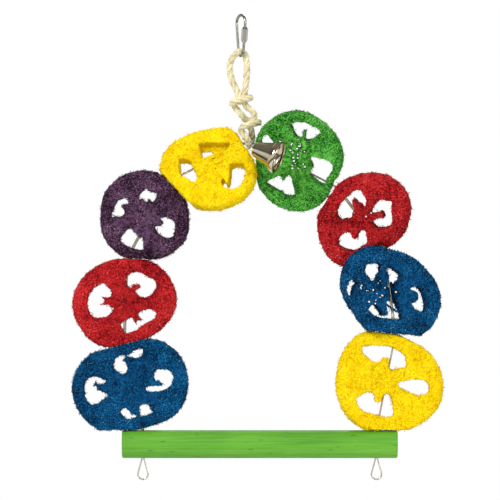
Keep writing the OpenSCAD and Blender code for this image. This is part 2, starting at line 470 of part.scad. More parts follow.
module perch() color([0.42, 0.7, 0.24]) difference() {
    translate([corners[0][0] - perch_over, 0, perch_z]) rotate([0, 90, 0]) rotate_extrude() {
        difference() {
            square([perch_d / 2, perch_len]);
            for (end = [0, 1]) translate([perch_d / 2 - perch_round, end * (perch_len - perch_round)])
                difference() {
                    square(perch_round);
                    translate([0, (1 - end) * perch_round]) circle(r = perch_round);
                }
        }
    }
    for (i = [0, 8]) translate([corners[i][0], 0, perch_bottom_z - cut])
        cylinder(d = perch_bore, h = perch_d + 2 * cut);
}

module slice_blue_left() color([0.05, 0.24, 0.4]) slice(0, 0, [-0.06, 0.04], 0, blue_left_shares);
module slice_red_left() color([0.64, 0.13, 0.13]) slice(1, 0, [-0.04, -0.01], 0, red_left_shares);
module slice_purple_left() color([0.29, 0.2, 0.28]) slice(2, 0, [-0.065, 0.113], 0, purple_left_shares);
module slice_yellow_top() color([0.89, 0.76, 0.06]) slice(3, -24, [0.015, -0.157], 0, yellow_top_shares);
module slice_green_top() color([0.28, 0.53, 0.21]) slice(4, 18, [0.1, 0.06], 0, green_top_shares);
module slice_red_right() color([0.6, 0.13, 0.14]) slice(5, 18, [0.03, -0.05], -0.1, red_right_shares);
module slice_blue_right() color([0.07, 0.22, 0.35]) slice(6, -18, [0, 0], 0.15, blue_right_shares);
module slice_yellow_right() color([0.94, 0.82, 0.07]) slice(7, 0, [0.04, 0.03], 0, yellow_right_shares);

// Long wire hook: round the rope's front strand at its wide end, the small link in its narrow tip
module bell_hook() {
    reach = hook_tip - hook_rope_place;
    bows = norm(reach) - hook_tip_r;
    slope = atan2(-reach[2], norm([reach[0], reach[1]]));
    color("silver") translate(hook_rope_place) rotate(atan2(reach[0], -reach[1]))
        rotate([slope, 0, 0]) pear(hook_end_r, hook_tip_r, bows, hook_wire);
}

module bell_link() color("silver") translate([hook_tip[0], hook_tip[1], link_ring_z])
    rotate([0, 90, 0]) rotate_extrude() translate([link_ring_r, 0]) circle(d = bell_wire);

// Bell frame: origin at the pivot, -Z along the bell's axis to its mouth
module bell_frame() {
    translate(bell_pivot) rotate([0, -bell_turn, 0]) rotate([-bell_lean, 0, 0]) children();
}

// Profile of the bell, crown to lip: how far it has spread from crown to mouth, and its depth in the length
bell_outer_shares = [[-0.18, 0], [-0.05, 0.02], [0.03, 0.07], [0.15, 0.2], [0.36, 0.45], [0.58, 0.68],
    [0.69, 0.76], [0.92, 0.81], [0.87, 0.87], [1, 0.94], [1, 1]];
bell_outer = [for (s = bell_outer_shares)
    [(bell_crown_d + s[0] * (bell_mouth_d - bell_crown_d)) / 2, -s[1] * bell_len]];

module bell_shell() color([0.75, 0.72, 0.62]) bell_frame() translate([0, 0, -crown_drop])
    difference() {
        rotate_extrude() polygon(concat([[0, 0]], bell_outer,
            [for (i = [len(bell_outer) - 1:-1:2]) [bell_outer[i][0] - bell_wall, bell_outer[i][1]]],
            [[bell_outer[1][0] - bell_wall, -bell_wall], [0, -bell_wall]]));
        translate([0, 0, -bell_wall - cut]) cylinder(d = bell_wire, h = bell_wall + 2 * cut);
    }

// Crown loop: a ring above the crown, a shank through it and an eye inside
eye_z = -crown_drop - bell_wall - bell_wire / 2 - crown_ring_r;
module bell_crown_loop() color("silver") bell_frame() {
    translate([0, 0, crown_lift - crown_ring_r]) rotate([90, 0, 0])
        rotate_extrude() translate([crown_ring_r, 0]) circle(d = bell_wire);
    translate([0, 0, eye_z + crown_ring_r]) cylinder(d = bell_wire,
        h = crown_lift - 2 * crown_ring_r - eye_z - crown_ring_r);
    translate([0, 0, eye_z]) rotate([0, 90, 0])
        rotate_extrude() translate([crown_ring_r, 0]) circle(d = bell_wire);
}

// Clapper: a ring in the eye, a rod and a round bob just inside the mouth
clapper_ring_r = 1.3;
clapper_pivot_z = eye_z - crown_ring_r;
clapper_ring_z = clapper_pivot_z + bell_wire + wire_clear - clapper_ring_r;
bob_inset_share = 0.7;
bob_z = -crown_drop - bell_len + bob_inset_share * clapper_bob_d;
module bell_clapper() color("gray") bell_frame() {
    translate([0, 0, clapper_ring_z]) rotate([90, 0, 0])
        rotate_extrude() translate([clapper_ring_r, 0]) circle(d = bell_wire);
    translate([0, 0, bob_z]) cylinder(d = bell_wire, h = clapper_ring_z - clapper_ring_r - bob_z);
    translate([0, 0, bob_z]) sphere(d = clapper_bob_d);
}

link_body();
link_sleeve();
hanger_rope();
arch_wire();
perch();
slice_blue_left();
slice_red_left();
slice_purple_left();
slice_yellow_top();
slice_green_top();
slice_red_right();
slice_blue_right();
slice_yellow_right();
bell_hook();
bell_link();
bell_shell();
bell_crown_loop();
bell_clapper();
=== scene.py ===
# %% [markdown]
# # A bird swing of dyed gourd sponges
# The CAD frame gives every solid of the swing at its real size: the screw link, the rope, the doubled wire
# arch, the perch, eight slices of dried sponge gourd and a small bell. This script dresses that frame.
# The gourd slices and the rope get new, finer pieces. The hard parts keep their solids and get materials.

# %% Load the frame
import json
import math
import random

import bmesh
import bpy
from mathutils import Matrix, Vector


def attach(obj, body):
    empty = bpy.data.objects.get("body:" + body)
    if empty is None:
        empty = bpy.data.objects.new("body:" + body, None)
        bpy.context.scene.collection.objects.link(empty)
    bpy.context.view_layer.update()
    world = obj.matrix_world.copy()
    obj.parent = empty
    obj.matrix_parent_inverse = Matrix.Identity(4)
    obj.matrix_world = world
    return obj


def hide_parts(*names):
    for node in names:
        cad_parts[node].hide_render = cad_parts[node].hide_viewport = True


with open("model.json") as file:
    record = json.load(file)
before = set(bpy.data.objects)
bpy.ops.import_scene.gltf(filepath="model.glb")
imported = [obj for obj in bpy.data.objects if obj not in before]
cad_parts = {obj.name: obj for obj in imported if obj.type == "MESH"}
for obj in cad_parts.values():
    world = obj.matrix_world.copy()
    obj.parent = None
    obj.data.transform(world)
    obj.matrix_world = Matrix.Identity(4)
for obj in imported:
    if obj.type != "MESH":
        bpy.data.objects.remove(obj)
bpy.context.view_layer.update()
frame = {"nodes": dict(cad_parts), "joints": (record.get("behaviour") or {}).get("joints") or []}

# %% [markdown]
# ## The camera
# The photograph looks straight at the swing from a good way off, so a long lens is used. One pixel of
# the photograph is 0.65 mm on the swing, which sets both the middle of the view and its width.

# %% Place the camera
mm = 0.001
photo_pixel = 0.65 * mm
photo_side = 500
hang_pixel = (241, 16.6)  # where the origin of the frame, the inside of the link's bow, shows
camera_distance = 2.6
view_width = photo_side * photo_pixel


def from_photo(x, y):
    """The point in the plane of the arch that shows at a pixel of the photograph."""
    return Vector(((x - hang_pixel[0]) * photo_pixel, 0, -(y - hang_pixel[1]) * photo_pixel))


view_middle = from_photo(photo_side / 2, photo_side / 2)
camera_data = bpy.data.cameras.new("photo_camera")
camera_data.sensor_width = 36
camera_data.lens = camera_data.sensor_width * camera_distance / view_width
camera = bpy.data.objects.new("photo_camera", camera_data)
camera.location = view_middle + Vector((0, -camera_distance, 0))
camera.rotation_euler = (math.radians(90), 0, 0)
camera_data.clip_start = 0.05
camera_data.clip_end = 50
bpy.context.scene.collection.objects.link(camera)
bpy.context.scene.camera = camera
print("lens:", round(camera_data.lens, 1), "mm, view", round(view_width, 4), "m wide")


# %% [markdown]
# ## Small tools
# Colours are read as sRGB hex values, as a colour picker gives them, and Blender's shaders want linear
# light, so one function turns them. Another adds a node to any tree, with its settings and links. The rest
# are the few kinds of node that the materials and trees use again and again.

# %% Colour and node helpers
def linear(hex_value):
    """Turns '#rrggbb' into the linear red, green, blue and alpha that a shader takes."""
    parts = [int(hex_value[i:i + 2], 16) / 255 for i in (1, 3, 5)]
    return [p / 12.92 if p <= 0.04045 else ((p + 0.055) / 1.055) ** 2.4 for p in parts] + [1.0]


def add(tree, kind, inputs=None, **settings):
    """Adds a node. Settings are the node's own options, inputs are values or other nodes' sockets."""
    node = tree.nodes.new(kind)
    for name, value in settings.items():
        setattr(node, name, value)
    for name, value in (inputs or {}).items():
        socket = node.inputs[name]
        if isinstance(value, bpy.types.NodeSocket):
            tree.links.new(value, socket)
        else:
            socket.default_value = value
    return node


def calc(tree, operation, *values):
    """The result of a math node, from numbers and other nodes' sockets."""
    return add(tree, "ShaderNodeMath", dict(enumerate(values)), operation=operation).outputs[0]


def between(tree, value, low, high, **settings):
    """Maps a value from low to high onto 0 to 1."""
    return add(tree, "ShaderNodeMapRange", {0: value, 1: low, 2: high}, **settings).outputs[0]


def noise(tree, place, scale, detail, roughness=0.5):
    """Soft noise, whose grains are 1 / scale metres wide."""
    return add(tree, "ShaderNodeTexNoise", {
        "Vector": place, "Scale": scale, "Detail": detail, "Roughness": roughness}).outputs


def ramp(tree, level, stops):
    """The colour of a level from 0 to 1, by (place, hex) stops."""
    node = add(tree, "ShaderNodeValToRGB", {"Fac": level})
    elements = node.color_ramp.elements
    while len(elements) < len(stops):
        elements.new(0.5)
    for element, (place, value) in zip(elements, stops):
        element.position = place
        element.color = linear(value)
    return node.outputs["Color"]


def mix_colour(tree, share, first, second):
    """Goes from the first colour to the second as the share goes from 0 to 1."""
    return add(tree, "ShaderNodeMix", {0: share, 6: first, 7: second}, data_type="RGBA").outputs[2]


def new_material(name):
    """An empty material, its node tree, and its shader, already wired to the output."""
    material = bpy.data.materials.new(name)
    material.use_nodes = True
    tree = material.node_tree
    tree.nodes.clear()
    shader = add(tree, "ShaderNodeBsdfPrincipled")
    add(tree, "ShaderNodeOutputMaterial", {"Surface": shader.outputs["BSDF"]})
    return material, tree, shader


def set_shader(tree, shader, inputs, bump=None):
    """Sets a shader's inputs, and its bump from a height, a strength and a depth in metres."""
    if bump:
        height, strength, depth = bump
        bumped = add(tree, "ShaderNodeBump", {"Height": height, "Strength": strength, "Distance": depth})
        inputs = {**inputs, "Normal": bumped.outputs["Normal"]}
    for name, value in inputs.items():
        if isinstance(value, bpy.types.NodeSocket):
            tree.links.new(value, shader.inputs[name])
        else:
            shader.inputs[name].default_value = value


def wear(piece, material):
    """Gives a piece one material in all its slots."""
    piece.data.materials.clear()
    piece.data.materials.append(material)


# %% Geometry Nodes helpers
def new_tree(name, sockets):
    """An empty Geometry Nodes tree with named inputs, and the sockets that they come in by."""
    tree = bpy.data.node_groups.new(name, "GeometryNodeTree")
    face = tree.interface
    face.new_socket("Geometry", in_out="INPUT", socket_type="NodeSocketGeometry")
    for socket_name, kind, value in sockets:
        socket = face.new_socket(socket_name, in_out="INPUT", socket_type="NodeSocket" + kind)
        if value is not None:
            socket.default_value = value
    face.new_socket("Geometry", in_out="OUTPUT", socket_type="NodeSocketGeometry")
    return tree, add(tree, "NodeGroupInput").outputs


def end_tree(tree, geometry, material):
    """The last nodes of a tree: instances made real, the material, and the way out."""
    real = add(tree, "GeometryNodeRealizeInstances", {0: geometry})
    done = add(tree, "GeometryNodeSetMaterial", {"Geometry": real.outputs[0], "Material": material})
    add(tree, "NodeGroupOutput", {0: done.outputs[0]})
    return tree


def store(tree, geometry, name, value, kind="FLOAT"):
    """Stores a value on a geometry as a named attribute, for the material to read."""
    return add(tree, "GeometryNodeStoreNamedAttribute", {
        "Geometry": geometry, "Name": name, "Value": value}, data_type=kind).outputs[0]


def evaluated_mesh(piece, name):
    """The mesh that a piece's modifiers make, as a plain mesh of its own."""
    depsgraph = bpy.context.evaluated_depsgraph_get()
    mesh = bpy.data.meshes.new_from_object(piece.evaluated_get(depsgraph), depsgraph=depsgraph)
    mesh.name = name
    return mesh


def run_tree(piece, tree, values):
    """Runs a tree on a piece, with each input set by the identifier behind its name, and keeps the mesh."""
    modifier = piece.modifiers.new(tree.name, "NODES")
    modifier.node_group = tree
    sockets = {s.name: s.identifier for s in tree.interface.items_tree if s.in_out == "INPUT"}
    for name, value in values.items():
        modifier[sockets[name]] = value
    mesh = evaluated_mesh(piece, piece.name)
    piece.modifiers.clear()
    piece.data = mesh
    mesh.shade_smooth()
    return mesh


# %% Mesh helpers
def new_piece(name, mesh):
    """A piece of the scene with a mesh."""
    piece = bpy.data.objects.new(name, mesh)
    bpy.context.scene.collection.objects.link(piece)
    return piece


def line_piece(name, points, closed=False):
    """A piece that is a line through some points, for a tree to wind something round."""
    count = len(points)
    edges = [(i, (i + 1) % count) for i in range(count if closed else count - 1)]
    mesh = bpy.data.meshes.new(name + "_line")
    mesh.from_pydata(points, edges, [])
    return new_piece(name, mesh)


def skin_rings(form, rings):
    """Closes a row of rings, each of as many points, into one solid of a mesh in the making."""
    count = len(rings[0])
    for low, high in zip(rings, rings[1:]):
        for k in range(count):
            form.faces.new((low[k], low[(k + 1) % count], high[(k + 1) % count], high[k]))
    form.faces.new(rings[0][::-1])
    form.faces.new(rings[-1])


def mesh_of(form, name):
    """The finished mesh of a mesh in the making."""
    mesh = bpy.data.meshes.new(name)
    form.to_mesh(mesh)
    form.free()
    return mesh


def length_of(line):
    return sum((b - a).length for a, b in zip(line, line[1:]))


print("helpers are ready")

# %% [markdown]
# ## Dyed gourd sponge
# A sponge gourd is dried until only its net of tough plant fibres is left, cut across in slices and
# dyed in a bath. Cut fibre ends scatter light, so it looks quite matte. Shade is painted into the colour:
# it is darkest down in the pits between fibres, and painted highlight makes it lighter on the raised
# fibres. The ribs that run out from the core are lighter too. Here and there a pale speck shows on the
# highest fibres: partly a cut fibre end that took little dye, partly a painted glint.
# The mesh carries two attributes, the height of the fibre net and the strength of the ribs, so that
# colour and shape agree. One function makes all five dyes.

# %% Dyed sponge material
def dyed_sponge(name, pit_shade, body, crest_highlight, rib, bare_speck_and_glint):
    """The colour in the pits (painted shade), on the net, on its crests (painted highlight), on the ribs, and of the
    pale specks (partly undyed fibre, partly painted glint).
    """
    material, tree, shader = new_material(name)
    height = add(tree, "ShaderNodeAttribute", attribute_name="net_height").outputs["Fac"]
    ribs = add(tree, "ShaderNodeAttribute", attribute_name="rib").outputs["Fac"]
    place = add(tree, "ShaderNodeTexCoord").outputs["Object"]
    # fibres are about 0.3 mm thick: the finest noise has grains of 0.8 mm, which still show in the render
    fine = noise(tree, place, 1250.0, 2.0, 0.7)["Fac"]
    patch = noise(tree, place, 80.0, 2.0)["Fac"]
    level = calc(tree, "MULTIPLY_ADD", patch, 0.95, calc(tree, "MULTIPLY_ADD", fine, 2.8, height))
    # painted shade and highlight: the sunken pits of the net get the darkest colour, the raised crests the lightest,
    # and the highest the pale specks
    net = ramp(tree, between(tree, level, 2.0, 3.2),
               [(0.0, pit_shade), (0.3, body), (0.56, crest_highlight), (0.88, crest_highlight), (1.0, bare_speck_and_glint)])
    set_shader(tree, shader, {
        "Base Color": mix_colour(tree, ribs, net, linear(rib)), "Roughness": 0.88, "IOR": 1.47,
        "Specular IOR Level": 0.1}, bump=(fine, 0.6, 0.4 * mm))
    return material


# each dye: pit colour (painted shade), body, crest colour (painted highlight), rib colour, and the pale specks
# (partly painted glint)
dyes = {
    "yellow": dyed_sponge("dyed_sponge_yellow", "#e2b400", "#f0d000", "#fbe212", "#fbe20e", "#fff07a"),
    "red": dyed_sponge("dyed_sponge_red", "#4c050e", "#a4121b", "#d03030", "#b82226", "#f2a498"),
    "blue": dyed_sponge("dyed_sponge_blue", "#011228", "#023962", "#0c6498", "#074d80", "#90bcd8"),
    "purple": dyed_sponge("dyed_sponge_purple", "#140811", "#321c2e", "#745270", "#68486a", "#c4aabe"),
    "green": dyed_sponge("dyed_sponge_green", "#083004", "#30882a", "#68c04e", "#6cc64a", "#b4e6a0"),
}
print("dyes:", sorted(dyes))

# %% [markdown]
# ## The gourd slices
# Each slice starts from its CAD solid, which has the photographed outline and seed chambers. Real slices
# are not smooth: the cut net is pitted, the ribs stand out from the core, holes a needle wide go right
# through, and loose fibre ends stick out all round. The solid is remeshed to an even net of small faces,
# and one Geometry Nodes tree then roughens it and lays fibres over it.

# %% Measure each slice
# each slice: its tilt about the wire in degrees, how far its middle lies from the middle of its stretch of
# wire, in shares of the radius, and how far to the front, as a share of the thickness
slice_radius, slice_thickness = 30 * mm, 10 * mm
slice_places = {
    "slice_blue_left": (0, (-0.06, 0.04), 0), "slice_red_left": (0, (-0.04, -0.01), 0),
    "slice_purple_left": (0, (-0.065, 0.113), 0), "slice_yellow_top": (-24, (0.015, -0.157), 0),
    "slice_green_top": (18, (0.1, 0.06), 0), "slice_red_right": (18, (0.03, -0.05), -0.1),
    "slice_blue_right": (-18, (0, 0), 0.15), "slice_yellow_right": (0, (0.04, 0.03), 0)}


def slice_facts(node):
    """The middle of a slice, and its own directions: right, up and out of its face."""
    tilt, offset, depth = slice_places[node]
    joint = next(j for j in frame["joints"] if j["child"] == node)
    turn = Matrix.Rotation(math.radians(tilt), 3, Vector(joint["axis"]).normalized())
    right, up, face = turn @ Vector((1, 0, 0)), turn @ Vector((0, 0, 1)), turn @ Vector((0, -1, 0))
    aside = slice_radius * (offset[0] * right + offset[1] * up)
    middle = Vector(joint["pos_m"]) + aside + depth * slice_thickness * face
    return {"middle": middle, "right": right, "up": up, "face": face}


facts = {node: slice_facts(node) for node in slice_places}


def on_slice(node, x, y, depth=0.0):
    """A point of a slice, from shares of its radius to the right and up, and of its thickness to the front."""
    fact = facts[node]
    aside = slice_radius * (x * fact["right"] + y * fact["up"])
    return fact["middle"] + aside + depth * slice_thickness * fact["face"]


for node, fact in facts.items():
    print(node, "middle", [round(c, 4) for c in fact["middle"]])


# %% [markdown]
# The remeshed body comes first. Loose bundles of fibre are joined to it, and pinholes are cut through it
# where light shows through the real slices. At one slice the net is parted, so that the wire shows.

# %% What goes into and through the slices
net_cell = 0.48 * mm
# rounds of smoothing: the two slices at the top have the softest, most worn edges
soft_rounds = {"slice_yellow_top": 9, "slice_green_top": 6}
usual_rounds = 2

# pinholes: middle and half size of the field in shares of the radius, how many, and their radius
pinhole_fields = {
    "slice_blue_left": (-0.05, 0.1, 0.1, 0.4, 5, 0.6 * mm),
    "slice_red_left": (0.05, 0.0, 0.5, 0.5, 14, 0.75 * mm),
    "slice_purple_left": (-0.02, 0.18, 0.06, 0.05, 2, 0.7 * mm),
    "slice_yellow_top": (0.0, 0.05, 0.2, 0.1, 4, 0.6 * mm),
    "slice_green_top": (-0.02, 0.14, 0.18, 0.34, 42, 0.76 * mm),
    "slice_red_right": (-0.02, 0.12, 0.22, 0.12, 6, 0.85 * mm),
    "slice_blue_right": (-0.16, -0.04, 0.56, 0.26, 64, 0.72 * mm),
    "slice_yellow_right": (-0.02, 0.02, 0.1, 0.1, 3, 0.5 * mm)}
pinhole_reach, pinhole_bend = 14 * mm, 0.4

# stretches where the net is parted and the wire shows: both ends in the photograph's pixels, and half width
wire_slots = {"slice_blue_right": [((390.6, 281), (394.2, 304), 1.2 * mm)]}
slot_front, slot_floor, slot_spread = -14 * mm, 0.4 * mm, 3.4

# loose bundles of fibre that cross a chamber: points in shares, depth too, and how thick they are
bundles = {
    "slice_blue_right": [
        (((-0.2, -0.22, 0.1), (-0.06, -0.33, 0.15), (0.1, -0.42, 0.05), (0.28, -0.53, 0.1)), 1.5 * mm),
        (((0.05, -0.1, 0.0), (0.1, -0.28, -0.1), (0.16, -0.4, 0.0), (0.2, -0.5, 0.1)), 0.8 * mm),
        (((-0.1, -0.18, -0.2), (0.08, -0.27, -0.2), (0.24, -0.34, -0.1)), 0.7 * mm),
        (((-0.13, 0.12, 0.0), (-0.12, 0.35, 0.1), (-0.15, 0.6, 0.0)), 1.6 * mm)],
    "slice_yellow_top": [
        (((-0.1, 0.5, -0.1), (0.1, 0.36, -0.2), (0.34, 0.22, -0.1)), 1.4 * mm),
        (((0.0, 0.56, -0.2), (0.2, 0.4, -0.1), (0.44, 0.3, -0.2)), 1.6 * mm),
        (((0.16, 0.56, -0.3), (0.22, 0.36, -0.3), (0.2, 0.14, -0.2)), 1.6 * mm),
        (((-0.2, 0.42, -0.3), (0.05, 0.4, -0.3), (0.36, 0.44, -0.3)), 1.2 * mm),
        (((0.3, 0.56, -0.1), (0.34, 0.36, -0.2), (0.3, 0.2, -0.2)), 1.6 * mm),
        (((-0.12, 0.2, 0.0), (0.06, 0.27, -0.1), (0.3, 0.36, 0.0)), 1.2 * mm),
        (((0.1, 0.62, -0.2), (0.08, 0.42, -0.25), (0.1, 0.12, -0.2)), 3.2 * mm),
        (((0.22, 0.62, -0.25), (0.19, 0.4, -0.3), (0.21, 0.1, -0.2)), 3.8 * mm),
        (((0.34, 0.62, -0.2), (0.3, 0.4, -0.25), (0.32, 0.1, -0.2)), 3.8 * mm),
        (((0.46, 0.58, -0.2), (0.42, 0.4, -0.2), (0.42, 0.15, -0.2)), 3.6 * mm),
        (((-0.3, 0.5, -0.25), (0.0, 0.46, -0.3), (0.4, 0.48, -0.25)), 3.4 * mm),
        (((-0.22, 0.08, 0.1), (-0.06, 0.17, 0.2), (0.14, 0.25, 0.2), (0.36, 0.36, 0.15)), 3.4 * mm)]}


# %% Make the body of a slice
def tube_on(form, points, radius, sides=7):
    """Adds a closed tube along a few points to a mesh in the making."""
    rings = []
    for i, point in enumerate(points):
        way = (points[min(i + 1, len(points) - 1)] - points[max(i - 1, 0)]).normalized()
        first = way.cross(Vector((0.3, 0.2, 1))).normalized()
        second = way.cross(first)
        rings.append([form.verts.new(point + radius * (math.cos(a) * first + math.sin(a) * second))
                      for a in (math.tau * k / sides for k in range(sides))])
    skin_rings(form, rings)


def slot_on(form, start, end, half_width):
    """Adds a wedge from in front of a slice back to the wire, along a stretch of it."""
    low, high = from_photo(*start), from_photo(*end)
    way = (high - low).normalized()
    aside = half_width * Vector((-way.z, 0, way.x))
    corners_of_wedge = ((-1, slot_floor), (1, slot_floor), (slot_spread, slot_front), (-slot_spread, slot_front))
    skin_rings(form, [[form.verts.new(at + side * aside + Vector((0, y, 0))) for side, y in corners_of_wedge]
                      for at in (low, high)])


def tubes_piece(name, tubes, slots=()):
    """A piece made of tubes and slots, to join to a slice or to cut out of it."""
    form = bmesh.new()
    for points, radius in tubes:
        tube_on(form, points, radius)
    for start, end, half_width in slots:
        slot_on(form, start, end, half_width)
    bmesh.ops.recalc_face_normals(form, faces=form.faces)
    return new_piece(name, mesh_of(form, name))


def pinhole_tubes(node, seed):
    """Holes straight back in Y, so that light shows through them from in front."""
    pick = random.Random(seed)
    x, y, half_x, half_y, count, radius = pinhole_fields[node]
    back = Vector((0, pinhole_reach, 0))
    tubes = []
    for _ in range(count):
        at = on_slice(node, x + half_x * pick.uniform(-1, 1), y + half_y * pick.uniform(-1, 1))
        bend = Vector((pick.uniform(-pinhole_bend, pinhole_bend), 0,
                       pick.uniform(-pinhole_bend, pinhole_bend))) * mm
        tubes.append(((at - back, at + bend, at + back), radius * pick.uniform(0.5, 1.2)))
    return tubes


def combine(body, operation, other):
    """Joins another piece to a body, or cuts it out."""
    step = body.modifiers.new(operation.lower(), "BOOLEAN")
    step.operation, step.solver, step.object, step.use_self = operation, "EXACT", other, True


def slice_body(node, seed):
    """A slice of an even fine net, from its CAD solid, and the pieces that were joined and cut."""
    form = bmesh.new()
    form.from_mesh(frame["nodes"][node].data)
    bmesh.ops.remove_doubles(form, verts=form.verts, dist=0.002 * mm)
    body = new_piece(node + "_sponge", mesh_of(form, node + "_copy"))
    helpers = []
    if node in bundles:
        tubes = [([on_slice(node, *point) for point in points], width / 2) for points, width in bundles[node]]
        helpers.append(tubes_piece(node + "_bundles", tubes))
        combine(body, "UNION", helpers[-1])
    helpers.append(tubes_piece(node + "_pinholes", pinhole_tubes(node, seed), wire_slots.get(node, ())))
    combine(body, "DIFFERENCE", helpers[-1])
    net = body.modifiers.new("net", "REMESH")
    net.mode, net.voxel_size, net.adaptivity = "VOXEL", net_cell, 0
    soften = body.modifiers.new("soften", "SMOOTH")
    soften.factor, soften.iterations = 0.5, soft_rounds.get(node, usual_rounds)
    mesh = evaluated_mesh(body, node + "_sponge")
    body.modifiers.clear()
    body.data = mesh
    return body, helpers


# %% [markdown]
# The tree below is built once and used by all eight slices. It reads where a point is on the slice, so it
# can tell core from rim, and it stores the height of the net and the strength of the ribs for the colour.
# Fibres are three kinds of thin bent tube, laid on the faces in any direction, and fuzz stands on end.

# %% Geometry Nodes: pitted net, ribs, fibres and fuzz
def gourd_tree():
    tree, given = new_tree("gourd_net", (
        ("Middle", "Vector", (0, 0, 0)), ("Right", "Vector", (1, 0, 0)), ("Up", "Vector", (0, 0, 1)),
        ("Face", "Vector", (0, -1, 0)), ("Seed", "Int", 1), ("Radius", "Float", slice_radius),
        ("Net Depth", "Float", 1.3 * mm), ("Core Drop", "Float", 1.2 * mm), ("Lump Height", "Float", 1.1 * mm),
        ("Fibre Length", "Float", 4 * mm), ("Fibre Radius", "Float", 0.16 * mm),
        ("Fibre Density", "Float", 260000.0), ("Fuzz Length", "Float", 1.1 * mm),
        ("Fuzz Density", "Float", 130000.0), ("Holes", "Object", None), ("Material", "Material", None)))
    place = add(tree, "GeometryNodeInputPosition").outputs[0]
    normal = add(tree, "GeometryNodeInputNormal").outputs[0]

    def vector(operation, a, b=None, scale=None):
        node = add(tree, "ShaderNodeVectorMath", {0: a}, operation=operation)
        for key, value in ((1, b), (3, scale)):
            if isinstance(value, bpy.types.NodeSocket):
                tree.links.new(value, node.inputs[key])
            elif value is not None:
                node.inputs[key].default_value = value
        return node.outputs["Value" if operation in ("DOT_PRODUCT", "LENGTH") else "Vector"]

    def number(operation, *values):
        return calc(tree, operation, *values)

    def product(*values):
        result = values[0]
        for value in values[1:]:
            result = number("MULTIPLY", result, value)
        return result

    def grade(value, low, high):
        return between(tree, value, low, high, interpolation_type="SMOOTHSTEP")

    def point(**parts):
        return add(tree, "ShaderNodeCombineXYZ", {"XYZ".index(k.upper()): v for k, v in parts.items()}).outputs[0]

    # where a point is: how far from the core as a share of the radius, and how much its face looks out
    apart = vector("SUBTRACT", place, given["Middle"])
    flat_place = point(x=vector("DOT_PRODUCT", apart, given["Right"]), y=vector("DOT_PRODUCT", apart, given["Up"]))
    share = number("DIVIDE", vector("LENGTH", flat_place), given["Radius"])
    facing = grade(number("ABSOLUTE", vector("DOT_PRODUCT", normal, given["Face"])), 0.55, 0.9)
    drop = product(grade(share, 0.62, 0.3), facing)

    # ribs: noise read on a circle changes round the core and hardly along a rib, and is bent by a second
    # noise, so that the ribs wind and branch
    around = vector("SCALE", vector("NORMALIZE", flat_place), scale=3.6)
    wander = vector("SCALE", noise(tree, flat_place, 150.0, 2.0)["Color"], scale=2.6)
    rib_place = vector("ADD", vector("ADD", around, wander), point(
        x=product(share, 1.6), z=product(given["Seed"], 3.7)))
    rib = grade(noise(tree, rib_place, 1.0, 2.0)["Fac"], 0.46, 0.66)
    rib = product(rib, product(grade(share, 0.8, 0.45), grade(share, 0.02, 0.14)), facing, 0.85)

    # net: fine pits and slow lumps, mostly inwards so that the neighbours keep clear
    shifted = vector("ADD", place, point(x=given["Seed"]))
    net = noise(tree, shifted, 620.0, 3.0, 0.6)["Fac"]
    lump = noise(tree, shifted, 190.0, 1.0)["Fac"]
    rise = product(number("SUBTRACT", net, 0.58), given["Net Depth"])
    rise = number("MULTIPLY_ADD", number("SUBTRACT", lump, 0.52), given["Lump Height"], rise)
    sunk = product(given["Core Drop"], number("MAXIMUM", number("SUBTRACT", drop, rib), 0.0))
    rise = number("SUBTRACT", rise, sunk)

    body = store(tree, store(tree, given["Geometry"], "net_height", net), "rib", rib)
    body = add(tree, "GeometryNodeSetPosition", {
        "Geometry": body, "Offset": vector("SCALE", normal, scale=rise)}).outputs[0]

    def thin_tube(resolution, start, middle, end, radius):
        line = add(tree, "GeometryNodeCurveQuadraticBezier", {
            "Resolution": resolution, "Start": start, "Middle": middle, "End": end}).outputs[0]
        circle = add(tree, "GeometryNodeCurvePrimitiveCircle", {"Resolution": 3, "Radius": radius}).outputs[0]
        return add(tree, "GeometryNodeCurveToMesh", {
            "Curve": line, "Profile Curve": circle, "Fill Caps": True}).outputs[0]

    # three kinds of fibre, of different bend, drawn lying in X, and a stalk of fuzz that stands in Z
    kinds = add(tree, "GeometryNodeJoinGeometry")
    half = product(given["Fibre Length"], 0.5)
    for bow in (0.12, 0.3, -0.5):
        tube = thin_tube(3, point(x=product(half, -1.0)), point(y=product(given["Fibre Length"], bow)),
                         point(x=half), given["Fibre Radius"])
        tree.links.new(add(tree, "GeometryNodeGeometryToInstance", {0: tube}).outputs[0], kinds.inputs[0])
    stalk = thin_tube(2, (0, 0, 0), point(z=product(given["Fuzz Length"], 0.6)),
                      point(x=product(given["Fuzz Length"], 0.45), z=given["Fuzz Length"]),
                      product(given["Fibre Radius"], 0.7))

    # fibres keep away from the pinholes, which would be hidden under them
    holes = add(tree, "GeometryNodeObjectInfo", {"Object": given["Holes"]}).outputs["Geometry"]
    away = add(tree, "GeometryNodeProximity", {0: holes}, target_element="FACES").outputs["Distance"]
    free = grade(away, 0.7 * mm, 1.3 * mm)

    def pick_value(low, high, step):
        return add(tree, "FunctionNodeRandomValue", {2: low, 3: high, 8: step}, data_type="FLOAT").outputs[1]

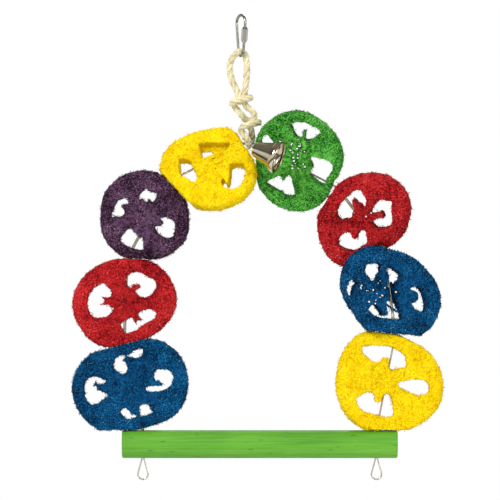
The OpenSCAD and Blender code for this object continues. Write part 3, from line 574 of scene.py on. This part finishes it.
    def scatter(density, instance, step, tilt, pick):
        """Lays instances on the body, turned any way and tilted a little, each with its own tone."""
        points = add(tree, "GeometryNodeDistributePointsOnFaces", {
            "Mesh": body, "Density": product(density, free), "Seed": number("ADD", given["Seed"], float(step))})
        marked = store(tree, points.outputs["Points"], "net_height", pick_value(0.1, 1.05, step))
        turn = add(tree, "FunctionNodeRandomValue", {
            0: (-tilt, -tilt, 0.0), 1: (tilt, tilt, math.tau), 8: step + 1}, data_type="FLOAT_VECTOR").outputs[0]
        turned = add(tree, "FunctionNodeRotateRotation", {
            "Rotation": points.outputs["Rotation"],
            "Rotate By": add(tree, "FunctionNodeEulerToRotation", {0: turn}).outputs[0]}, rotation_space="LOCAL")
        laid = add(tree, "GeometryNodeInstanceOnPoints", {
            "Points": marked, "Instance": instance, "Pick Instance": pick,
            "Rotation": turned.outputs[0], "Scale": pick_value(0.5, 1.25, step + 2)})
        if pick:
            chosen = add(tree, "FunctionNodeRandomValue", {4: 0, 5: 2, 8: step + 3}, data_type="INT")
            tree.links.new(chosen.outputs[2], laid.inputs["Instance Index"])
        return laid.outputs[0]

    fibres = scatter(given["Fibre Density"], kinds.outputs[0], 10, 0.22, True)
    fuzz = scatter(given["Fuzz Density"], stalk, 30, 0.75, False)
    whole = add(tree, "GeometryNodeJoinGeometry")
    for part in (fuzz, fibres, body):
        tree.links.new(part, whole.inputs[0])
    return end_tree(tree, whole.outputs[0], given["Material"])


gourd_net = gourd_tree()
print("gourd tree:", len(gourd_net.nodes), "nodes")

# %% Dress the eight slices
for number_in_row, (node, fact) in enumerate(facts.items()):
    colour_name = node.split("_")[1]
    piece, helpers = slice_body(node, 100 + number_in_row)
    mesh = run_tree(piece, gourd_net, {
        "Middle": fact["middle"], "Right": fact["right"], "Up": fact["up"], "Face": fact["face"],
        "Seed": number_in_row + 1, "Holes": helpers[-1], "Material": dyes[colour_name]})
    for helper in helpers:
        bpy.data.objects.remove(helper)
    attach(piece, node)
    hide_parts(node)
    print(piece.name, len(mesh.polygons), "faces")

# %% [markdown]
# ## The rope
# The hanger is a short length of three-strand cotton rope. It runs from a tuck behind the upper knot,
# round the neck of the loop, through the lower knot and under the arch wire, then back up, over the
# screw link and down again. A smooth curve goes through chosen points of that route. Geometry Nodes wind
# three strands round the curve, and each strand keeps where its surface is, so that the yarns in it can
# follow it.

# %% The rope's route
rope_thickness = 3.2 * mm
# points along the rope's middle, in millimetres
rope_route = [
    (1.4, 4.1, -52.4), (5.8, 2.2, -52.6), (5.2, -2.6, -53.1), (0.2, -4.2, -54), (-4.6, -3, -55.2),
    (-5.8, 0.6, -56.4), (-4.2, 3.4, -58), (-2.4, 3, -60.8), (0, 1.6, -63.4), (2.2, 3, -66.2),
    (6, 4.4, -68), (10.8, 2.6, -68.6), (11.2, -1.8, -69), (6.6, -4.1, -70), (2.2, -3.7, -71.2),
    (0.2, -1.7, -72.9), (0.9, -1.6, -75.5), (3.3, -3.4, -78.2), (4.5, -3.1, -81.2), (5.2, -1.7, -83.5),
    (5.5, 0, -84.1), (5.8, 1.7, -83.5), (6.5, 3.1, -81.2), (7.3, 3.4, -78), (6.8, 1.8, -75),
    (6.2, 0, -72), (6.6, 0, -68.2), (8.6, -0.2, -64.8), (8, 0, -62), (4.8, 0, -59.4),
    (2.1, 0, -56.2), (2.1, 0, -52), (3.2, 0, -44), (3.9, 0.2, -34), (3.4, 1.6, -27),
    (1.9, 1.3, -23.8), (0, 0, -22.7), (-2.3, -1.4, -23.6), (-5.6, -1.4, -27), (-7.4, -0.4, -33.5),
    (-5.6, 0, -42), (-2.3, 0, -49), (-1.9, 0, -53), (-1.9, 0, -57)]


def smooth_line(points, steps):
    """A Catmull-Rom curve through the points, as a list of points."""
    line = []
    for i in range(len(points) - 1):
        a, b, c, d = (Vector(points[max(0, min(len(points) - 1, i + k))]) for k in (-1, 0, 1, 2))
        for s in range(steps):
            t = s / steps
            line.append(b + t * ((c - a) + t * ((2 * a - 5 * b + 4 * c - d) + t * (3 * b - a - 3 * c + d))) / 2)
    return line + [Vector(points[-1])]


rope_line = [p * mm for p in smooth_line(rope_route, 6)]


# %% Geometry Nodes: three strands wound round a line
def rope_tree():
    # soft strands swell between their turns, so the strands are wound for a rope 1.34 times as thick
    tree, given = new_tree("three_strand_rope", (
        ("Thickness", "Float", 1.34 * rope_thickness), ("Lay Length", "Float", 16 * mm),
        ("Step", "Float", 0.6 * mm), ("Material", "Material", None)))

    def vector(operation, inputs):
        return add(tree, "ShaderNodeVectorMath", inputs, operation=operation).outputs[0]

    line = add(tree, "GeometryNodeMeshToCurve", {0: given["Geometry"]}).outputs[0]
    line = add(tree, "GeometryNodeResampleCurve", {"Curve": line, "Length": given["Step"]}, mode="LENGTH").outputs[0]
    normal = add(tree, "GeometryNodeInputNormal").outputs[0]
    side = vector("CROSS_PRODUCT", {0: add(tree, "GeometryNodeInputTangent").outputs[0], 1: normal})
    gone = add(tree, "GeometryNodeSplineParameter").outputs["Length"]
    # three round strands that touch are each 1 / 2.155 of the rope's thickness across. Soft ones press
    # flat: here each has a radius of 1 / 3.75 of it
    strand = calc(tree, "DIVIDE", given["Thickness"], 3.75)
    aside = calc(tree, "SUBTRACT", calc(tree, "MULTIPLY", given["Thickness"], 0.53), strand)
    turned = calc(tree, "MULTIPLY", calc(tree, "DIVIDE", gone, given["Lay Length"]), math.tau)
    circle = add(tree, "GeometryNodeCurvePrimitiveCircle", {"Resolution": 10, "Radius": strand}).outputs[0]
    ring_place = vector("NORMALIZE", {0: add(tree, "GeometryNodeInputPosition").outputs[0]})
    circle = store(tree, circle, "round", ring_place, "FLOAT_VECTOR")
    whole = add(tree, "GeometryNodeJoinGeometry")
    for k in range(3):
        angle = calc(tree, "ADD", turned, k * math.tau / 3)
        out = vector("SCALE", {0: normal, 3: calc(tree, "COSINE", angle)})
        over = vector("SCALE", {0: side, 3: calc(tree, "SINE", angle)})
        offset = vector("SCALE", {0: vector("ADD", {0: out, 1: over}), 3: aside})
        moved = add(tree, "GeometryNodeSetPosition", {
            "Geometry": store(tree, line, "gone", gone), "Offset": offset}).outputs[0]
        tube = add(tree, "GeometryNodeCurveToMesh", {"Curve": moved, "Profile Curve": circle, "Fill Caps": True})
        tree.links.new(tube.outputs[0], whole.inputs[0])
    return end_tree(tree, whole.outputs[0], given["Material"])


# %% [markdown]
# Cotton rope is undyed, cream and matte. Each strand is a bundle of yarns that twist the other way, seen
# as fine slanted lines, darker in the creases between yarns as painted shade, with random darker blotches.

# %% Cotton rope material
yarns_round, yarn_turn = 7, 9 * mm  # yarns round a strand, and how far along the rope each crosses it once


def cotton_rope():
    material, tree, shader = new_material("undyed_cotton_rope")
    around = add(tree, "ShaderNodeAttribute", attribute_name="round").outputs["Vector"]
    ring = add(tree, "ShaderNodeSeparateXYZ", {0: around}).outputs
    gone = add(tree, "ShaderNodeAttribute", attribute_name="gone").outputs["Fac"]
    # painted shade: the colour darkens along the slanted creases between the yarns
    yarn = calc(tree, "MULTIPLY", calc(tree, "ARCTAN2", ring[1], ring[0]), float(yarns_round))
    yarn = calc(tree, "SINE", calc(tree, "MULTIPLY_ADD", gone, -math.tau * yarns_round / yarn_turn, yarn))
    place = add(tree, "ShaderNodeTexCoord").outputs["Object"]
    hair = noise(tree, place, 1500.0, 3.0)["Fac"]
    blotch = noise(tree, place, 160.0, 2.0)["Fac"]
    level = calc(tree, "MULTIPLY_ADD", yarn, 0.08, calc(tree, "MULTIPLY", hair, 0.5))
    level = calc(tree, "MULTIPLY_ADD", blotch, 0.6, level)
    set_shader(tree, shader, {
        "Base Color": ramp(tree, level, [(0.36, "#a8986c"), (0.55, "#e4dab0"), (0.76, "#f6f0d0")]),
        "Roughness": 0.9, "Specular IOR Level": 0.2, "Sheen Weight": 0.3}, bump=(level, 0.45, 0.2 * mm))
    return material


# %% Make the rope
rope = line_piece("cotton_rope", rope_line)
rope_mesh = run_tree(rope, rope_tree(), {"Material": cotton_rope()})
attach(rope, "hanger")
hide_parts("hanger_rope")
print("rope:", len(rope_mesh.polygons), "faces")


# %% [markdown]
# ## The doubled wire arch
# One closed wire makes the arch: it runs over the corners, folds in a teardrop under the perch, runs back
# beside itself and folds again. The two runs lie side by side at some slices and one behind the other at
# others, so the pair turns a little on its way. The corners are bends of a small radius.

# %% The wire's route, in millimetres
wire_thickness, wire_apart = 1.0, 1.06
bend_radius, perch_bottom = 3.2, -287.0
bend_steps, stretch_steps, loop_steps = 6, 12, 20
corners = [(-63.7, -268.8), (-75.9, -213), (-73.9, -157.1), (-47.2, -106.9), (5.5, -80.8), (62.4, -110.9),
           (92.6, -150.7), (100.4, -206), (88.1, -268.8)]
# turn of the pair about its middle on each stretch: 0 lies side by side, 90 one behind the other
stretch_turns = [0, 40, 8, 0, 30, 75, 12, 8, 80, 0]


def arch_middle():
    """Points along the middle of the pair, with the pair's turn in degrees at each."""
    stops = [(corners[0][0], perch_bottom)] + corners + [(corners[-1][0], perch_bottom)]
    stops = [Vector((x, 0, z)) for x, z in stops]
    line = [(stops[0], 0.0)]
    for i in range(1, len(stops) - 1):
        before_way, after_way = (stops[i] - stops[i - 1]).normalized(), (stops[i + 1] - stops[i]).normalized()
        reach = bend_radius * math.tan(before_way.angle(after_way) / 2)
        start, end = stops[i] - reach * before_way, stops[i] + reach * after_way
        for k in range(bend_steps + 1):
            t = k / bend_steps
            at = (1 - t) ** 2 * start + 2 * t * (1 - t) * stops[i] + t ** 2 * end
            line.append((at, stretch_turns[i - 1] + (stretch_turns[i] - stretch_turns[i - 1]) * t))
        last = stops[i + 1] - bend_radius * 0.6 * after_way
        for k in range(1, stretch_steps):
            line.append((end.lerp(last, k / stretch_steps), float(stretch_turns[i])))
    return line + [(stops[-1], 0.0)]


def one_run(side):
    """One run of the wire, aside from the middle of the pair."""
    line, run = arch_middle(), []
    for i, (point, turn) in enumerate(line):
        way = (line[min(i + 1, len(line) - 1)][0] - line[max(i - 1, 0)][0]).normalized()
        flat, turn = Vector((-way.z, 0, way.x)), math.radians(turn)
        aside = math.cos(turn) * flat + math.sin(turn) * Vector((0, -1, 0))
        run.append(point + side * wire_apart / 2 * aside)
    return run


def foot_loop(x):
    """Teardrop under the perch, from its right leg round to its left leg."""
    round_r, drop, lean = 3.33, 10.5, 15.4
    middle = Vector((x, 0, perch_bottom - drop))
    angles = [math.radians(lean - k * (180 + 2 * lean) / loop_steps) for k in range(loop_steps + 1)]
    return [middle + round_r * Vector((math.cos(a), 0, math.sin(a))) for a in angles]


wire_line = one_run(1) + foot_loop(corners[-1][0]) + one_run(-1)[::-1] + foot_loop(corners[0][0])
print("wire:", len(wire_line), "points,", round(length_of(wire_line)), "mm")


# %% Geometry Nodes: round wire along a line
def wire_tree():
    tree, given = new_tree("round_wire", (
        ("Thickness", "Float", wire_thickness * mm), ("Step", "Float", 0.8 * mm), ("Material", "Material", None)))
    line = add(tree, "GeometryNodeMeshToCurve", {0: given["Geometry"]}).outputs[0]
    line = add(tree, "GeometryNodeResampleCurve", {"Curve": line, "Length": given["Step"]}, mode="LENGTH").outputs[0]
    radius = calc(tree, "MULTIPLY", given["Thickness"], 0.5)
    circle = add(tree, "GeometryNodeCurvePrimitiveCircle", {"Resolution": 12, "Radius": radius}).outputs[0]
    tube = add(tree, "GeometryNodeCurveToMesh", {"Curve": line, "Profile Curve": circle}).outputs[0]
    return end_tree(tree, tube, given["Material"])


# %% [markdown]
# ## The hard parts
# The perch is a dowel of pale close-grained wood, stained green. The stain sinks deepest in the
# open grain, so dark streaks run along the dowel. The link, its sleeve and
# the small hooks are steel with a thin bright plating.
# The bell is pressed from thin steel and plated brightly, so it mirrors the room in dark and light bands.

# %% Stained wood material
def stained_dowel():
    material, tree, shader = new_material("stained_beech_dowel")
    place = add(tree, "ShaderNodeTexCoord").outputs["Object"]

    def stretched(share):
        return add(tree, "ShaderNodeMapping", {"Vector": place, "Scale": (share, 1.0, 1.0)}).outputs[0]

    # grain lines are about 1 mm apart round the dowel and 30 mm long
    long_way = stretched(0.035)
    grain = noise(tree, long_way, 900.0, 4.0, 0.6)["Fac"]
    broad = noise(tree, long_way, 170.0, 2.0)["Fac"]
    cloud = noise(tree, place, 26.0, 1.0)["Fac"]
    level = calc(tree, "MULTIPLY_ADD", cloud, 0.5, calc(tree, "MULTIPLY_ADD", broad, 0.7, grain))
    wood = ramp(tree, between(tree, level, 0.75, 1.45), [(0.0, "#408412"), (0.5, "#58a31c"), (1.0, "#6eb530")])
    # the stain settles in short dark pores
    pores = add(tree, "ShaderNodeTexVoronoi", {"Vector": stretched(0.16), "Scale": 420.0, "Randomness": 1.0})
    pore = between(tree, pores.outputs["Distance"], 0.16, 0.08)
    set_shader(tree, shader, {
        "Base Color": mix_colour(tree, pore, wood, linear("#2f6a1c")), "Roughness": 0.55, "IOR": 1.5},
        bump=(grain, 0.25, 0.2 * mm))
    return material


# %% Plated and drawn metal materials
def metal(name, tone, shade, roughness, smudge_scale):
    """Bare or plated metal, with a faint mottling of colour and gloss."""
    material, tree, shader = new_material(name)
    place = add(tree, "ShaderNodeTexCoord").outputs["Object"]
    smudge = noise(tree, place, smudge_scale, 3.0)["Fac"]
    gloss = add(tree, "ShaderNodeMapRange", {0: smudge, 1: 0.3, 2: 0.7, 3: roughness * 1.3, 4: roughness * 0.7})
    set_shader(tree, shader, {
        "Base Color": mix_colour(tree, smudge, linear(shade), linear(tone)), "Roughness": gloss.outputs[0],
        "Metallic": 1.0})
    return material


dowel_stain = stained_dowel()
plating = metal("bright_zinc_plating", "#d6d4cb", "#a8a598", 0.2, 200.0)
spring_wire = metal("drawn_spring_wire", "#dcd6c6", "#a69e8c", 0.22, 700.0)
bell_plating = metal("bright_nickel_plating", "#ded6c0", "#b9ad90", 0.13, 260.0)
clapper_steel = metal("dull_nickel_plating", "#a8a294", "#6f6a5f", 0.35, 400.0)
# painted dark reflection: the link's body wears a darker copy of the zinc plating
link_plating_painted_darker = metal("dark_zinc_plating", "#bdbcb4", "#8c8a82", 0.2, 200.0)
finishes = {
    "link_body": link_plating_painted_darker, "link_sleeve": plating, "perch": dowel_stain,
    "bell_hook": plating, "bell_link": plating, "bell_crown_loop": plating,
    "bell_clapper": clapper_steel}
for node, material in finishes.items():
    wear(frame["nodes"][node], material)
print("finished CAD nodes:", sorted(finishes))

# %% Make the wire arch
wire = line_piece("doubled_wire", [p * mm for p in wire_line], closed=True)
wire_mesh = run_tree(wire, wire_tree(), {"Material": spring_wire})
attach(wire, "swing")
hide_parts("arch_wire")
print("wire:", len(wire_mesh.polygons), "faces")


# %% [markdown]
# The bell is pressed from one thin round of steel, so it is a turned form: a cone with a soft shoulder, a
# groove, and a lip that rolls outwards and back in. A smooth curve through a few points of its wall is
# spun round its axis, inside and outside in one line, so the wall has its real thickness.

# %% Make the bell
bell_turn, bell_lean = math.radians(-70), math.radians(-15)
crown_drop, bell_sides = 2.55, 96
# the wall from the crown out to the lip and back inside: radius and depth under the crown, in millimetres
bell_wall_line = [
    (0.02, 0), (2.2, 0), (3.6, 0.15), (4.3, 0.6), (4.8, 1.6), (5.6, 4.2), (6.4, 6.8), (7.2, 9.4), (7.9, 11.7),
    (8.3, 12.9), (8.5, 13.4), (9.3, 13.7), (10.1, 14.3), (10.7, 15.2), (11, 16.3), (10.95, 17.3), (10.6, 17.9),
    (10.2, 17.9), (10, 17.4), (10.1, 16.4), (9.8, 15.3), (9, 14.5), (7.9, 13.7), (7.3, 11.7), (6.6, 9.4), (5.8, 6.8),
    (5, 4.2), (4.2, 1.9), (3.4, 0.9), (2.2, 0.6), (0.02, 0.6)]
bell_joint = next(j for j in frame["joints"] if j["name"] == "bell_swing")
bell_place = (Matrix.Translation(Vector(bell_joint["pos_m"])) @ Matrix.Rotation(bell_turn, 4, "Y")
              @ Matrix.Rotation(bell_lean, 4, "X"))


def turned_bell():
    form = bmesh.new()
    rings = []
    for r, depth, _ in smooth_line([(r, depth, 0) for r, depth in bell_wall_line], 4):
        ring = [Vector((r * math.cos(a), r * math.sin(a), -crown_drop - depth)) * mm
                for a in (math.tau * k / bell_sides for k in range(bell_sides))]
        rings.append([form.verts.new(bell_place @ point) for point in ring])
    skin_rings(form, rings)
    bmesh.ops.recalc_face_normals(form, faces=form.faces)
    return mesh_of(form, "pressed_bell")


bell_mesh = turned_bell()
bell_mesh.shade_smooth()
bell = new_piece("pressed_bell", bell_mesh)
wear(bell, bell_plating)
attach(bell, "bell")
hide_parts("bell_shell")
print("bell:", len(bell_mesh.polygons), "faces")

# %% [markdown]
# ## Floor and light
# The swing hangs over a plain pale floor in a white studio. The room is white to the camera. To the
# metal it is a room of bands, light round the horizon and darker above and below, as real studios are,
# because plating shows nothing but what is round it. One large soft lamp from the upper left gives the
# fibres and the dowel their shape.

# %% Floor
floor_radius, floor_height, floor_sides = 0.48, -0.37, 96
floor_mesh = bpy.data.meshes.new("floor")
floor_mesh.from_pydata([
    (view_middle.x + floor_radius * math.cos(a), floor_radius * math.sin(a), floor_height)
    for a in (math.tau * k / floor_sides for k in range(floor_sides))], [], [list(range(floor_sides))])
floor = new_piece("floor", floor_mesh)
floor_material, floor_tree, floor_shader = new_material("pale_studio_floor")
set_shader(floor_tree, floor_shader, {"Base Color": linear("#f4f4f2"), "Roughness": 0.7})
wear(floor, floor_material)
print("floor:", floor_height, "m")

# %% Room and lamps
world = bpy.data.worlds.new("white_studio")
world.use_nodes = True
room = world.node_tree
room.nodes.clear()
look = add(room, "ShaderNodeTexCoord").outputs["Generated"]
height = add(room, "ShaderNodeSeparateXYZ", {0: look}).outputs[2]
bands = ramp(room, between(room, height, -1.0, 1.0), [
    (0.0, "#3a3835"), (0.34, "#55524e"), (0.45, "#f2f2f0"), (0.6, "#ffffff"), (0.68, "#4c4a46"), (1.0, "#8a8884")])
banded = add(room, "ShaderNodeBackground", {"Color": bands, "Strength": 0.95})
soft = add(room, "ShaderNodeBackground", {"Color": linear("#dcdcda"), "Strength": 0.85})
white = add(room, "ShaderNodeBackground", {"Color": linear("#ffffff"), "Strength": 1.0})
ray = add(room, "ShaderNodeLightPath").outputs
both = add(room, "ShaderNodeMixShader", {0: ray["Is Glossy Ray"], 1: soft.outputs[0], 2: banded.outputs[0]})
both = add(room, "ShaderNodeMixShader", {0: ray["Is Camera Ray"], 1: both.outputs[0], 2: white.outputs[0]})
add(room, "ShaderNodeOutputWorld", {"Surface": both.outputs[0]})
bpy.context.scene.world = world


def soft_lamp(name, place, size, power):
    """A round lamp that looks at the middle of the view."""
    lamp_data = bpy.data.lights.new(name, "AREA")
    lamp_data.shape, lamp_data.size, lamp_data.energy = "DISK", size, power
    lamp = bpy.data.objects.new(name, lamp_data)
    lamp.location = place
    lamp.rotation_euler = (view_middle - Vector(place)).to_track_quat("-Z", "Y").to_euler()
    bpy.context.scene.collection.objects.link(lamp)


soft_lamp("main_lamp", (-0.7, -1.1, 0.7), 0.6, 14)
soft_lamp("side_lamp", (1.0, -0.8, 0.1), 0.5, 4)
soft_lamp("back_lamp", (0.3, 1.2, 0.8), 0.6, 6)
bpy.context.scene.view_settings.view_transform = "Standard"
